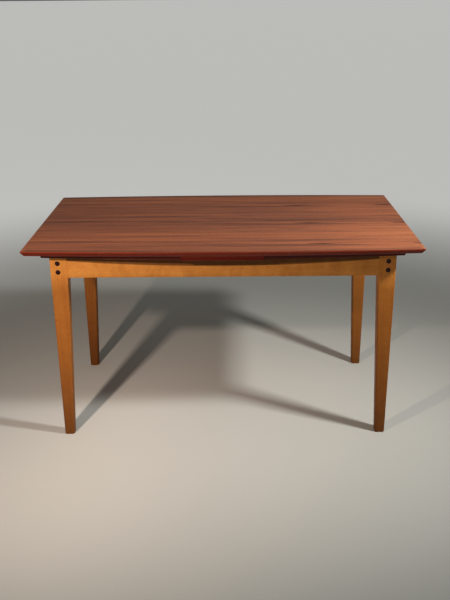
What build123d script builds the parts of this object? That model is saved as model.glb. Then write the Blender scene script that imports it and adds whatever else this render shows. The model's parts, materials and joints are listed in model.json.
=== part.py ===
from build123d import *
import math
import os

# A draw-leaf dining table. A boat-shaped teak top lies on a fixed centre board and two
# leaves, over an oak frame with tapered legs. Each leaf is screwed to two inclined lopers:
# it slides out past the top's end and rises by one board's thickness as it goes, and it
# carries the top up with it.
# Origin: on the floor under the middle of the table. +X runs along the table to the right,
# +Y to the back, +Z up. All sizes are in millimetres.

# Boards
table_height = 720.0
top_length = 1326.0
top_width_middle = 782.0
top_width_end = 748.0
board_thickness = 18.0
lipping_width = 18.0
top_undercut = 10.0
leaf_undercut = 4.0
centre_board_undercut = 1.5
undercut_height = 14.0
arris = 1.0

# Leaves and centre board
leaf_inner_x = 137.2
leaf_outer_x = 610.0
centre_board_half_length = 136.5
centre_board_setback = 18.0
leaf_setback = 8.0

# Frame
leg_outer_x = 584.0
leg_outer_y = 308.5
leg_head_x = 58.0
leg_head_y = 47.0
leg_foot = 35.5
leg_head_radius = 2.0
leg_foot_radius = 9.0
foot_bevel = 2.0
apron_bottom = 606.0
apron_thickness = 21.0
tenon_length = 22.0
tenon_thickness = 9.0
tenon_shoulder = 10.0
end_apron_x = 558.0
end_apron_thickness = 22.0

# Cross rails under the centre board
rail_x = 105.0
rail_thickness = 22.0
rail_bottom = 612.0
rail_housing = 6.0

# Lopers
loper_thickness = 24.0
loper_outer_x = 580.0
loper_inner_x = 448.0
loper_depth_at_apron = 26.0
left_loper_y = 145.0
right_loper_y = 183.0
stop_peg_radius = 5.0
stop_peg_reach = 12.0

# Corner blocks
block_clearance = 2.5
block_width = 30.0
block_bottom = 622.0
block_top = 668.0

# Pegs under the top that keep it over the centre board
guide_peg_radius = 10.0
guide_peg_y = 90.0
guide_peg_drop = 45.0
guide_peg_socket = 8.0

# Plugs and screws
plug_radius = 8.5
plug_depth = 9.0
plug_crown = 0.9
plug_heights = (625.5, 656.5)
corner_screw_length = 70.0
rail_screw_length = 68.0
rail_screw_y = 240.0
loper_screw_length = 38.0
loper_screw_x = (180.0, 350.0, 520.0)
block_screw_length = 26.0
block_screw_cover = 11.0
screw_radius = 2.5
screw_head_radius = 4.6
screw_point = 6.0
screw_tip_radius = 0.4
slot_size = 1.1
screw_bite = 13.0

# Fits
running_gap = 0.3
side_gap = 0.4
bore_gap = 0.05
stop_gap = 0.3

# Derived sizes
top_bottom = table_height - board_thickness
leaf_top = top_bottom - running_gap
leaf_bottom = leaf_top - board_thickness
frame_top = leaf_bottom - running_gap
bow = (top_width_middle - top_width_end) / 2
bow_radius = ((top_length / 2) ** 2 + bow ** 2) / (2 * bow)
side_centre_y = top_width_middle / 2 - bow_radius
leaf_travel = top_length / 2 + running_gap - leaf_inner_x
leaf_rise = board_thickness + running_gap
slope = leaf_rise / leaf_travel
leg_inner_x = leg_outer_x - leg_head_x
leg_inner_y = leg_outer_y - leg_head_y
apron_inner_y = leg_outer_y - apron_thickness
end_apron_inner_x = end_apron_x - end_apron_thickness / 2
notch_bottom = leaf_bottom - loper_depth_at_apron
rail_outer_x = rail_x + rail_thickness
stop_peg_x = leaf_travel - rail_x + stop_peg_radius + stop_gap

BASE = (Align.CENTER, Align.CENTER, Align.MIN)


def half_width(distance, setback=0.0):
    """Half the width of the boat shape at a distance from its middle."""
    return math.sqrt((bow_radius - setback) ** 2 - distance ** 2) + side_centre_y


def loper_underside(x):
    """Height of a loper's lower edge, for a leaf that draws towards -X."""
    return notch_bottom - (x + end_apron_x) * slope


def boat_outline(x_left, x_right, boat_middle, setback):
    """Face between two ends, with its long sides on the boat shape's arcs."""
    def side(x):
        return half_width(x - boat_middle, setback)

    x_middle = (x_left + x_right) / 2
    corners = [(x_left, -side(x_left)), (x_right, -side(x_right)),
               (x_right, side(x_right)), (x_left, side(x_left))]
    front = ThreePointArc(corners[0], (x_middle, -side(x_middle)), corners[1])
    back = ThreePointArc(corners[2], (x_middle, side(x_middle)), corners[3])
    ends = [Line(corners[1], corners[2]), Line(corners[3], corners[0])]
    return make_face([front, ends[0], back, ends[1]])


def lipping_profile(thickness, undercut):
    """Section of a lipping undercut by a given inset: X inwards from its outer face, Y up."""
    return make_face(Polyline(
        (arris, thickness), (lipping_width, thickness), (lipping_width, 0), (undercut, 0),
        (0, undercut_height), (0, thickness - arris), close=True))


def side_lipping(x_left, x_right, boat_middle, bottom, thickness, setback, undercut):
    """Lipping along the back arc, longer at both ends than the board."""
    outer_y = half_width(0, setback)
    section = Plane(origin=(boat_middle, outer_y, bottom), x_dir=(0, -1, 0),
                    z_dir=(-1, 0, 0)) * lipping_profile(thickness, undercut)
    axis = Axis((boat_middle, side_centre_y, 0), (0, 0, 1))
    spare = 2 * lipping_width
    start = -math.degrees(math.asin((x_right + spare - boat_middle) / bow_radius))
    finish = -math.degrees(math.asin((x_left - spare - boat_middle) / bow_radius))
    return revolve(section.rotate(axis, start), axis=axis, revolution_arc=finish - start)


def lipped_board(x_left, x_right, boat_middle, bottom, thickness, undercut, setback=0.0,
                 ends=("undercut", "undercut")):
    """Veneered panel and its solid lippings, as a dict of separate solids.

    The sides are undercut by a given inset. Each end is undercut, with a mitred lipping, or
    square, with a lipping let in between the long ones, or bare.
    """
    def slab(outline):
        return extrude(Pos(0, 0, bottom) * outline, amount=thickness)

    core_left = x_left + (0 if ends[0] == "bare" else lipping_width)
    core_right = x_right - (0 if ends[1] == "bare" else lipping_width)
    inner = setback + lipping_width
    pieces = {"panel": slab(boat_outline(core_left, core_right, boat_middle, inner))}

    trim = []
    for name, end, x_end, x_core, way in (("left", ends[0], x_left, core_left, -1),
                                          ("right", ends[1], x_right, core_right, 1)):
        y_outer = half_width(x_end - boat_middle, setback)
        y_inner = half_width(x_core - boat_middle, inner)
        beyond = (x_end + way * lipping_width, 2 * y_outer - y_inner)
        if end == "undercut":
            trim.append([(x_core, 0), (x_core, y_inner), beyond, (beyond[0], 2 * y_outer)])
            section = Plane(origin=(x_end, 0, bottom), x_dir=(-way, 0, 0),
                            z_dir=(0, way, 0)) * lipping_profile(thickness, undercut)
            corner = [(x_core, y_inner), beyond]
            mitred = make_face(Polyline(*corner, *[(x, -y) for x, y in reversed(corner)],
                                        close=True))
            pieces[name] = extrude(section, amount=2 * y_outer, both=True) & slab(mitred)
        else:
            trim.append([(x_end, 0), (x_end, 2 * y_outer)])
        if end == "square":
            pieces[name] = slab(boat_outline(*sorted((x_end, x_core)), boat_middle, inner))
    region = slab(make_face(Polyline(*trim[0], *reversed(trim[1]), close=True)))
    pieces["back"] = side_lipping(x_left, x_right, boat_middle, bottom, thickness,
                                  setback, undercut) & region
    pieces["front"] = mirror(pieces["back"], Plane.XZ)
    return pieces


def screw(length):
    """Slotted countersunk screw, its head's face at the origin and its point towards +Z."""
    head_height = screw_head_radius - screw_radius
    head = Cone(screw_head_radius, screw_radius, head_height, align=BASE)
    slot = Box(3 * screw_head_radius, slot_size, slot_size, align=BASE)
    shank_length = length - head_height - screw_point
    shank = Pos(0, 0, head_height) * Cylinder(screw_radius, shank_length, align=BASE)
    point = Pos(0, 0, length - screw_point) * Cone(
        screw_radius, screw_tip_radius, screw_point, align=BASE)
    return head - slot + shank + point


def screw_bore(length, recess):
    """Hole that a screw fills, with a recess that lets its head in below the surface."""
    radius = screw_radius + bore_gap
    shank = Cylinder(radius, length + bore_gap, align=BASE)
    head = Cone(screw_head_radius + bore_gap, radius, screw_head_radius - screw_radius, align=BASE)
    mouth = Pos(0, 0, -recess) * Cylinder(screw_head_radius + bore_gap, recess, align=BASE)
    return shank + head + mouth


def placed(shape, position, direction):
    """Shape turned from +Z to a direction and moved to a position."""
    return Plane(origin=position, z_dir=direction) * shape


def corner_screw_place(side_x, side_y, height):
    """Position and direction of a screw through a leg into the end apron."""
    return (side_x * end_apron_x, side_y * (leg_outer_y - plug_depth), height), (0, -side_y, 0)


def leg(side_x, side_y):
    """Leg with plumb outer faces, and inner faces that taper to a rounded foot."""
    sections = []
    for height, size_x, size_y, radius in (
            (0, leg_foot - foot_bevel, leg_foot - foot_bevel, leg_foot_radius - foot_bevel / 2),
            (foot_bevel, leg_foot, leg_foot, leg_foot_radius),
            (apron_bottom, leg_head_x, leg_head_y, leg_head_radius),
            (frame_top, leg_head_x, leg_head_y, leg_head_radius)):
        inset = foot_bevel / 2 if height == 0 else 0
        centre_x = side_x * (leg_outer_x - inset - size_x / 2)
        centre_y = side_y * (leg_outer_y - inset - size_y / 2)
        sections.append(Pos(centre_x, centre_y, height) * RectangleRounded(size_x, size_y, radius))
    shape = loft(sections, ruled=True)
    shape -= tenon(side_x, side_y)
    for height in plug_heights:
        position, direction = corner_screw_place(side_x, side_y, height)
        shape -= placed(screw_bore(corner_screw_length, 0), position, direction)
        shape -= placed(Cylinder(plug_radius, 2 * plug_depth, align=BASE), position,
                        (0, side_y, 0))
    return shape


def tenon(side_x, side_y):
    """Tenon of a long apron, which a leg's mortise takes."""
    height = frame_top - apron_bottom - 2 * tenon_shoulder
    return Pos(side_x * (leg_inner_x + tenon_length / 2),
               side_y * (leg_outer_y - apron_thickness / 2),
               apron_bottom + tenon_shoulder + height / 2) * Box(
                   tenon_length, tenon_thickness, height)


def block_screw_places(side_x, side_y):
    """Positions and directions of a corner block's two screws."""
    along_y = leg_inner_x + leg_inner_y - block_clearance - block_width / 2 - apron_inner_y
    along_x = leg_inner_x + leg_inner_y - block_clearance - block_width / 2 - end_apron_inner_x
    height = (block_bottom + block_top) / 2
    return [((side_x * along_y, side_y * (apron_inner_y - block_screw_cover), height),
             (0, side_y, 0)),
            ((side_x * (end_apron_inner_x - block_screw_cover), side_y * along_x, height),
             (side_x, 0, 0))]


def long_apron(side_y):
    """Front or back apron, flush with the legs, housed for the cross rails."""
    shape = Pos(0, side_y * (leg_outer_y - apron_thickness / 2), apron_bottom) * Box(
        2 * leg_inner_x, apron_thickness, frame_top - apron_bottom, align=BASE)
    shape = shape + tenon(-1, side_y) + tenon(1, side_y)
    for side_x in (-1, 1):
        shape -= cross_rail_blank(side_x)
        position, direction = block_screw_places(side_x, side_y)[0]
        shape -= placed(screw_bore(block_screw_length, 0), position, direction)
    return shape


def end_apron(side_x):
    """Apron between two legs, notched for the lopers of its own leaf."""
    shape = Pos(side_x * end_apron_x, 0, apron_bottom) * Box(
        end_apron_thickness, 2 * leg_inner_y, frame_top - apron_bottom, align=BASE)
    own_y = left_loper_y if side_x < 0 else right_loper_y
    floor = loper_underside(-end_apron_inner_x) - running_gap
    for side_y in (-1, 1):
        shape -= Pos(side_x * end_apron_x, side_y * own_y, floor) * Box(
            2 * end_apron_thickness, loper_thickness + 2 * side_gap, leaf_top, align=BASE)
        for height in plug_heights:
            position, direction = corner_screw_place(side_x, side_y, height)
            shape -= placed(screw_bore(corner_screw_length, 0), position, direction)
        position, direction = block_screw_places(side_x, side_y)[1]
        shape -= placed(screw_bore(block_screw_length, 0), position, direction)
    return shape


def cross_rail_blank(side_x):
    """Cross rail before its notches are cut, ends let into the long aprons."""
    return Pos(side_x * (rail_x + rail_thickness / 2), 0, rail_bottom) * Box(
        rail_thickness, 2 * (apron_inner_y + rail_housing), frame_top - rail_bottom, align=BASE)


def rail_screw_place(side_x, side_y):
    """Position of a screw that rises through a cross rail into the centre board."""
    head = frame_top + screw_bite - rail_screw_length
    return (side_x * (rail_x + rail_thickness / 2), side_y * rail_screw_y, head), (0, 0, 1)


def cross_rail(side_x):
    """Cross rail, with close notches for the near lopers and wide ones for the far pair."""
    shape = cross_rail_blank(side_x)
    near_y, far_y = (left_loper_y, right_loper_y)[::-side_x]
    peg_way = 1 if side_x < 0 else -1
    near_floor = loper_underside(-rail_x) - running_gap
    far_floor = loper_underside(rail_outer_x) - running_gap
    close = loper_thickness + 2 * side_gap
    wide = close + stop_peg_reach + side_gap
    middle_x = side_x * (rail_x + rail_thickness / 2)
    for side_y in (-1, 1):
        shape -= Pos(middle_x, side_y * near_y, near_floor) * Box(
            2 * rail_thickness, close, leaf_top, align=BASE)
        wide_y = far_y + peg_way * (wide - close) / 2
        shape -= Pos(middle_x, side_y * wide_y, far_floor) * Box(
            2 * rail_thickness, wide, leaf_top, align=BASE)
        position, direction = rail_screw_place(side_x, side_y)
        recess = 2 * (position[2] - rail_bottom)
        shape -= placed(screw_bore(rail_screw_length, recess), position, direction)
    return shape


def corner_block(side_x, side_y):
    """Diagonal block across a leg's inner corner, screwed to both aprons."""
    outer = leg_inner_x + leg_inner_y - block_clearance
    inner = outer - block_width
    points = [(outer - apron_inner_y, apron_inner_y), (inner - apron_inner_y, apron_inner_y),
              (end_apron_inner_x, inner - end_apron_inner_x),
              (end_apron_inner_x, outer - end_apron_inner_x)]
    outline = Polyline(*[(side_x * x, side_y * y) for x, y in points], close=True)
    shape = extrude(Pos(0, 0, block_bottom) * make_face(outline), amount=block_top - block_bottom)
    for position, direction in block_screw_places(side_x, side_y):
        shape -= placed(screw_bore(block_screw_length, block_width), position, direction)
    return shape


def plug(side_x, side_y, height):
    """Domed round plug over a corner screw's head."""
    position, direction = corner_screw_place(side_x, side_y, height)
    dome_radius = (plug_radius ** 2 + plug_crown ** 2) / (2 * plug_crown)
    stock = Cylinder(plug_radius, plug_depth + plug_crown, align=BASE)
    dome = Pos(0, 0, plug_depth + plug_crown - dome_radius) * Sphere(dome_radius)
    return placed(stock & dome, position, (0, side_y, 0))


def draw_side(leaf):
    """-1 for the left leaf and 1 for the right leaf."""
    return -1 if leaf == "left" else 1


def loper_centre_y(leaf):
    """Distance of a leaf's lopers from the table's middle line."""
    return left_loper_y if leaf == "left" else right_loper_y


def loper_screw_places(leaf, side_y):
    """Positions of the screws that rise through a loper into its leaf."""
    head = leaf_bottom + screw_bite - loper_screw_length
    return [((draw_side(leaf) * x, side_y * loper_centre_y(leaf), head), (0, 0, 1))
            for x in loper_screw_x]


def stop_peg(leaf, side_y):
    """Peg across a loper near its inner end, which meets the near rail at full draw."""
    height = (leaf_bottom - 2 * running_gap - (stop_peg_x + leaf_inner_x) * slope
              + loper_underside(stop_peg_x)) / 2
    way = -1 if leaf == "left" else 1
    length = loper_thickness + stop_peg_reach
    centre_y = loper_centre_y(leaf) + way * stop_peg_reach / 2
    return Pos(-draw_side(leaf) * stop_peg_x, side_y * centre_y, height) * Rot(90, 0, 0) * Cylinder(
        stop_peg_radius, length)


def loper(leaf, side_y):
    """Sliding bearer: level where the leaf lies on it, inclined along the draw elsewhere."""
    under_board = leaf_bottom - 2 * running_gap
    profile = [(-loper_outer_x, leaf_bottom), (-leaf_inner_x, leaf_bottom),
               (-leaf_inner_x, under_board),
               (loper_inner_x, under_board - (loper_inner_x + leaf_inner_x) * slope),
               (loper_inner_x, loper_underside(loper_inner_x)),
               (-loper_outer_x, loper_underside(-loper_outer_x))]
    way = -draw_side(leaf)
    outline = make_face(Polyline(*[(way * x, z) for x, z in profile], close=True))
    centre_y = side_y * loper_centre_y(leaf)
    upright = Plane(origin=(0, centre_y, 0), x_dir=(1, 0, 0), z_dir=(0, -1, 0))
    shape = extrude(upright * outline, amount=loper_thickness / 2, both=True)
    shape -= stop_peg(leaf, side_y)
    for position, direction in loper_screw_places(leaf, side_y):
        shape -= placed(screw_bore(loper_screw_length, loper_depth_at_apron), position, direction)
    return shape


def guide_peg(side_y):
    """Round peg let into the underside of the top, which slides in the centre board."""
    return Pos(0, side_y * guide_peg_y, top_bottom - guide_peg_drop) * Cylinder(
        guide_peg_radius, guide_peg_drop + guide_peg_socket, align=BASE)


def build_top(parts):
    """Top: panel, four lippings and two guide pegs."""
    pieces = lipped_board(-top_length / 2, top_length / 2, 0, top_bottom, board_thickness,
                          top_undercut)
    pegs = [guide_peg(side_y) for side_y in (-1, 1)]
    for peg in pegs:
        pieces["panel"] -= peg
    parts["top_panel"] = [pieces["panel"]]
    for side in ("front", "back", "left", "right"):
        parts[f"top_lipping_{side}"] = [pieces[side]]
    parts["guide_pegs"] = pegs


def build_leaf(parts, leaf):
    """Leaf: panel, lippings, lopers, their screws and stop pegs."""
    way = draw_side(leaf)
    x_ends = sorted((way * leaf_inner_x, way * leaf_outer_x))
    pieces = lipped_board(x_ends[0], x_ends[1], -way * leaf_travel, leaf_bottom, board_thickness,
                          leaf_undercut, leaf_setback, ends=("undercut", "square")[::-way])
    outer, inner = ("left", "right")[::-way]
    screws = []
    for side_name, side_y in (("front", -1), ("back", 1)):
        parts[f"{leaf}_loper_{side_name}"] = [loper(leaf, side_y)]
        for position, direction in loper_screw_places(leaf, side_y):
            screws.append(placed(screw(loper_screw_length), position, direction))
            pieces["panel"] -= placed(screw_bore(loper_screw_length, 0), position, direction)
    parts[f"{leaf}_leaf_panel"] = [pieces["panel"]]
    for name, side in (("front", "front"), ("back", "back"), ("outer", outer), ("inner", inner)):
        parts[f"{leaf}_leaf_lipping_{name}"] = [pieces[side]]
    parts[f"{leaf}_loper_screws"] = screws
    parts[f"{leaf}_stop_pegs"] = [stop_peg(leaf, side_y) for side_y in (-1, 1)]


def build_centre_board(parts):
    """Centre board: panel and two lippings, bored for the guide pegs and its screws."""
    ends = (-centre_board_half_length, centre_board_half_length)
    pieces = lipped_board(ends[0], ends[1], 0, frame_top, leaf_top - frame_top,
                          centre_board_undercut, centre_board_setback, ends=("bare", "bare"))
    panel = pieces["panel"]
    screws = []
    for side_y in (-1, 1):
        panel -= Pos(0, side_y * guide_peg_y, frame_top) * Cylinder(
            guide_peg_radius + running_gap, board_thickness + 1, align=BASE)
        for side_x in (-1, 1):
            position, direction = rail_screw_place(side_x, side_y)
            screws.append(placed(screw(rail_screw_length), position, direction))
            panel -= placed(screw_bore(rail_screw_length, 0), position, direction)
    parts["centre_board_panel"] = [panel]
    parts["centre_board_lipping_front"] = [pieces["front"]]
    parts["centre_board_lipping_back"] = [pieces["back"]]
    parts["centre_board_screws"] = screws


def build_frame(parts):
    """Legs, aprons, cross rails, corner blocks, and what fastens them."""
    plugs = []
    corner_screws = []
    block_screws = []
    for front_back, side_y in (("front", -1), ("back", 1)):
        parts[f"{front_back}_apron"] = [long_apron(side_y)]
        for left_right, side_x in (("left", -1), ("right", 1)):
            parts[f"leg_{front_back}_{left_right}"] = [leg(side_x, side_y)]
            parts[f"corner_block_{front_back}_{left_right}"] = [corner_block(side_x, side_y)]
            for height in plug_heights:
                plugs.append(plug(side_x, side_y, height))
                position, direction = corner_screw_place(side_x, side_y, height)
                corner_screws.append(placed(screw(corner_screw_length), position, direction))
            for position, direction in block_screw_places(side_x, side_y):
                block_screws.append(placed(screw(block_screw_length), position, direction))
    for left_right, side_x in (("left", -1), ("right", 1)):
        parts[f"{left_right}_apron"] = [end_apron(side_x)]
        parts[f"cross_rail_{left_right}"] = [cross_rail(side_x)]
    parts["corner_plugs"] = plugs
    parts["corner_screws"] = corner_screws
    parts["corner_block_screws"] = block_screws


def main():
    """Build every node and write one STEP file for each."""
    parts = {}
    build_frame(parts)
    build_centre_board(parts)
    build_top(parts)
    for leaf in ("left", "right"):
        build_leaf(parts, leaf)
    os.makedirs("parts", exist_ok=True)
    for name, shapes in parts.items():
        solids = [solid for shape in shapes for solid in shape.solids()]
        if len(solids) != len(shapes):
            raise ValueError(f"{name} should hold {len(shapes)} solids, not {len(solids)}")
        body = solids[0] if len(solids) == 1 else Compound(children=solids)
        export_step(body, f"parts/{name}.step")
    print(f"leaf travel {leaf_travel:.1f} mm, rise {leaf_rise:.1f} mm, slope {slope:.5f}")


main()
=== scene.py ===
"""Looks of a draw-leaf dining table: teak top and leaves on an oak frame with beech inside."""

import json
import logging
from collections.abc import Callable
from dataclasses import dataclass, field, replace
from enum import Enum
from math import pi, radians

import bpy
from mathutils import Matrix, Vector

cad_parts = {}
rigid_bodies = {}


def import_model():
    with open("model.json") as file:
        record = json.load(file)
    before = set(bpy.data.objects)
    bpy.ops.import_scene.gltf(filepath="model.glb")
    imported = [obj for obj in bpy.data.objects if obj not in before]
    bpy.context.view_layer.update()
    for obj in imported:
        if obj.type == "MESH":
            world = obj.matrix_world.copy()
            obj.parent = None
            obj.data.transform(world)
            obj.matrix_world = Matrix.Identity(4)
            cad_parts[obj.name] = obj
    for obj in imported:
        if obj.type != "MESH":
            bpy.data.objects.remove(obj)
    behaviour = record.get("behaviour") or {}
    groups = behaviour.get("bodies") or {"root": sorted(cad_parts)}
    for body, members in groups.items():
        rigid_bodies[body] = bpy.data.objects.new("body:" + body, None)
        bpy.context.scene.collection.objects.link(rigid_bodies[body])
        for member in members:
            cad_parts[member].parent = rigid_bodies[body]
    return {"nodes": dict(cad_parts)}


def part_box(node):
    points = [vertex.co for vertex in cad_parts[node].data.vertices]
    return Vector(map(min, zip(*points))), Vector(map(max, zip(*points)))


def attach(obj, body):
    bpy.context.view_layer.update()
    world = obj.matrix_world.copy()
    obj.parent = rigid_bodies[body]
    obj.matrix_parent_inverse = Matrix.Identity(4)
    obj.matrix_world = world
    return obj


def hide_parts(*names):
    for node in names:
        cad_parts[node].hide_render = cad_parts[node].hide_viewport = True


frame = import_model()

log = logging.getLogger("table")

MILLIMETRE = 0.001
MIDDLE = 0.5  # mean of a noise, and the tone of plain wood
MIX_COLOURS = (6, 7)  # a Mix node's two colour inputs
WELD_GAP = 0.01 * MILLIMETRE  # vertices closer than this are one
FLAT_ANGLE = radians(0.5)  # faces that meet flatter than this are one
ARRIS_ANGLE = radians(40)  # edges sharper than this are arrises
SENSOR_WIDTH = 36.0  # in millimetres
Colour = tuple[float, float, float]


def colour(code: str) -> Colour:
    """Linear colour of a six-digit sRGB code.

    Args:
        code: red, green and blue as two hexadecimal digits each.

    Returns:
        The same colour as three linear numbers.
    """
    parts = [int(code[i:i + 2], 16) / 255 for i in (0, 2, 4)]
    return tuple(c / 12.92 if c <= 0.04045 else ((c + 0.055) / 1.055) ** 2.4 for c in parts)


# Shader arithmetic -------------------------------------------------------------------------


class Value:
    """A one-number socket that takes part in Python arithmetic."""

    def __init__(self, graph: "Graph", socket: bpy.types.NodeSocket) -> None:
        """Wraps a socket of a graph."""
        self.graph = graph
        self.socket = socket

    def math(self, operation: str, *others: "Value | float") -> "Value":
        """Applies a Math operation with this value first."""
        return self.graph.math(operation, self, *others)

    def __add__(self, other: "Value | float") -> "Value":
        """Sum."""
        return self.math("ADD", other)

    __radd__ = __add__

    def __mul__(self, other: "Value | float") -> "Value":
        """Product."""
        return self.math("MULTIPLY", other)

    __rmul__ = __mul__

    def __sub__(self, other: "Value | float") -> "Value":
        """Difference."""
        return self.math("SUBTRACT", other)

    def __rsub__(self, other: float) -> "Value":
        """Difference from a number."""
        return self.graph.math("SUBTRACT", other, self)

    def __truediv__(self, other: "Value | float") -> "Value":
        """Quotient."""
        return self.math("DIVIDE", other)

    def __abs__(self) -> "Value":
        """Size without its sign."""
        return self.math("ABSOLUTE")

    def fraction(self) -> "Value":
        """What is left after the whole number."""
        return self.math("FRACT")

    def whole(self) -> "Value":
        """The whole number at or below."""
        return self.math("FLOOR")

    def between(self, low: float, high: float) -> "Value":
        """Smooth step from 0 to 1.

        Args:
            low: where the step leaves 0.
            high: where it reaches 1; below low for a falling step.

        Returns:
            A value from 0 to 1.
        """
        node = self.graph.add(
            "ShaderNodeMapRange",
            {"interpolation_type": "SMOOTHSTEP"},
            {"Value": self, "From Min": min(low, high), "From Max": max(low, high)},
        )
        step = Value(self.graph, node.outputs[0])
        return step if low < high else 1 - step


class Graph:
    """Builds the node tree of a material or of the world."""

    def __init__(self, owner: bpy.types.Material | bpy.types.World) -> None:
        """Empties the owner's tree."""
        owner.use_nodes = True
        self.owner = owner
        self.tree = owner.node_tree
        self.tree.nodes.clear()

    @classmethod
    def of_material(cls, name: str) -> "Graph":
        """The graph of a new material of that name."""
        return cls(bpy.data.materials.new(name))

    def add(self, kind: str, settings: dict | None = None,
            inputs: dict | None = None) -> bpy.types.Node:
        """Adds any node.

        Args:
            kind: the node's type.
            settings: its properties, set before its inputs; "stops" are a ramp's.
            inputs: numbers, colours, values or sockets by socket name or index.

        Returns:
            The new node.
        """
        node = self.tree.nodes.new(kind)
        for name, setting in (settings or {}).items():
            if name == "stops":
                self._set_stops(node.color_ramp, setting)
            else:
                setattr(node, name, setting)
        for name, given in (inputs or {}).items():
            source = given.socket if isinstance(given, Value) else given
            if isinstance(source, bpy.types.NodeSocket):
                self.tree.links.new(source, node.inputs[name])
            else:
                node.inputs[name].default_value = source
        return node

    @staticmethod
    def _set_stops(ramp: bpy.types.ColorRamp, stops: tuple[tuple[float, Colour], ...]) -> None:
        """Gives a colour ramp its stops."""
        while len(ramp.elements) < len(stops):
            ramp.elements.new(1.0)
        for element, (place, shade) in zip(ramp.elements, stops):
            element.position = place
            element.color = (*shade, 1.0)

    def math(self, operation: str, *values: Value | float) -> Value:
        """A Math node on values or numbers."""
        node = self.add("ShaderNodeMath", {"operation": operation}, dict(enumerate(values)))
        return Value(self, node.outputs[0])

    def vector(self, operation: str, *vectors: object) -> bpy.types.NodeSocket:
        """A Vector Math node on vectors."""
        node = self.add("ShaderNodeVectorMath", {"operation": operation}, dict(enumerate(vectors)))
        return node.outputs[0]

    def combine(self, x: Value | float, y: Value | float, z: Value | float) -> bpy.types.NodeSocket:
        """A vector from three values."""
        return self.add("ShaderNodeCombineXYZ", None, {0: x, 1: y, 2: z}).outputs[0]

    def place(self) -> tuple[Value, Value, Value]:
        """The surface point in the table's own frame, in metres."""
        point = self.add("ShaderNodeTexCoord").outputs["Object"]
        split = self.add("ShaderNodeSeparateXYZ", None, {0: point})
        return tuple(Value(self, socket) for socket in split.outputs)

    def noise(self, point: bpy.types.NodeSocket, scale: tuple[float, float, float], shift: float,
              detail: float = 2.0, roughness: float = 0.5) -> Value:
        """Noise from 0 to 1 with its own scale on each axis.

        Args:
            point: where it is read, in metres.
            scale: patches per metre on each axis.
            shift: moves the pattern, so that pieces differ.
            detail: octaves.
            roughness: share kept by each octave.

        Returns:
            The noise as a value.
        """
        scaled = self.vector("MULTIPLY_ADD", point, scale, (shift, shift * 1.7, shift * 2.3))
        node = self.add(
            "ShaderNodeTexNoise",
            {"noise_dimensions": "3D"},
            {"Vector": scaled, "Scale": 1.0, "Detail": detail, "Roughness": roughness},
        )
        return Value(self, node.outputs[0])

    def ramp(self, factor: Value, stops: tuple[tuple[float, Colour], ...]) -> bpy.types.NodeSocket:
        """A colour picked by a value between stops."""
        return self.add("ShaderNodeValToRGB", {"stops": stops}, {0: factor}).outputs[0]

    def blend(self, factor: Value | float, low: object, high: object,
              mode: str = "MIX") -> bpy.types.NodeSocket:
        """Mixes two colours.

        Args:
            factor: 0 for the first, 1 for the second.
            low: a colour or a colour socket.
            high: the other one.
            mode: the Mix node's blend type.

        Returns:
            The mixed colour's socket.
        """
        settings = {"data_type": "RGBA", "blend_type": mode, "clamp_factor": True}
        shades = [(*c, 1.0) if isinstance(c, tuple) else c for c in (low, high)]
        inputs = {0: factor, **dict(zip(MIX_COLOURS, shades))}
        node = self.add("ShaderNodeMix", settings, inputs)
        return node.outputs[2]

    def finish(self, surface: "Surface", depth: float,
               others: dict[str, object] | None = None) -> bpy.types.Material:
        """Ends the tree in a Principled shader.

        Args:
            surface: the pattern's colour, roughness and height.
            depth: what a height of 1 is, in metres.
            others: numbers, colours or sockets for the shader's other sockets.

        Returns:
            The finished material.
        """
        bump = self.add(
            "ShaderNodeBump", None, {"Strength": 1.0, "Distance": depth, "Height": surface.height}
        )
        inputs = {
            "Base Color": surface.base,
            "Roughness": surface.roughness,
            "Normal": bump.outputs[0],
            **(others or {}),
        }
        shader = self.add("ShaderNodeBsdfPrincipled", None, inputs)
        output = self.add("ShaderNodeOutputMaterial")
        self.tree.links.new(shader.outputs[0], output.inputs[0])
        return self.owner


@dataclass(frozen=True)
class Surface:
    """A pattern before it reaches a shader.

    Attributes:
        base: its colour.
        roughness: its roughness.
        height: its relief, from 0 to 1.
    """

    base: bpy.types.NodeSocket
    roughness: Value
    height: Value

    def under(self, cover: "Surface", mask: Value, graph: Graph) -> "Surface":
        """This pattern with another laid over part of it.

        Args:
            cover: the pattern on top.
            mask: 1 where the cover lies.
            graph: of the material.

        Returns:
            The two as one pattern.
        """
        return Surface(
            graph.blend(mask, self.base, cover.base),
            self.roughness + mask * (cover.roughness - self.roughness),
            self.height + mask * (cover.height - self.height),
        )


# Finishes ----------------------------------------------------------------------------------


class Grain(Enum):
    """Which way the fibres of a piece run."""

    LENGTHWAYS = "along the table"
    CROSSWAYS = "across the table"
    UPRIGHT = "up the table"


@dataclass(frozen=True)
class Cut:
    """Where in its log a piece was sawn.

    Attributes:
        grain: which way its fibres run.
        pith: the log's centre, across and through the piece in the table's frame, in metres.
        seed: keeps its figure apart from that of other pieces.
        tone: makes the piece darker below 0 and lighter above it.
    """

    grain: Grain
    pith: tuple[float, float]
    seed: float
    tone: float = 0.0


@dataclass(frozen=True)
class Streak:
    """One layer of noise drawn out along the grain.

    Attributes:
        length: of a streak, in metres.
        width: of a streak, in metres.
        order: keeps one layer apart from another.
        detail: octaves.
        roughness: share kept by each octave.
    """

    length: float
    width: float
    order: int
    detail: float = 2.0
    roughness: float = 0.5


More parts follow.
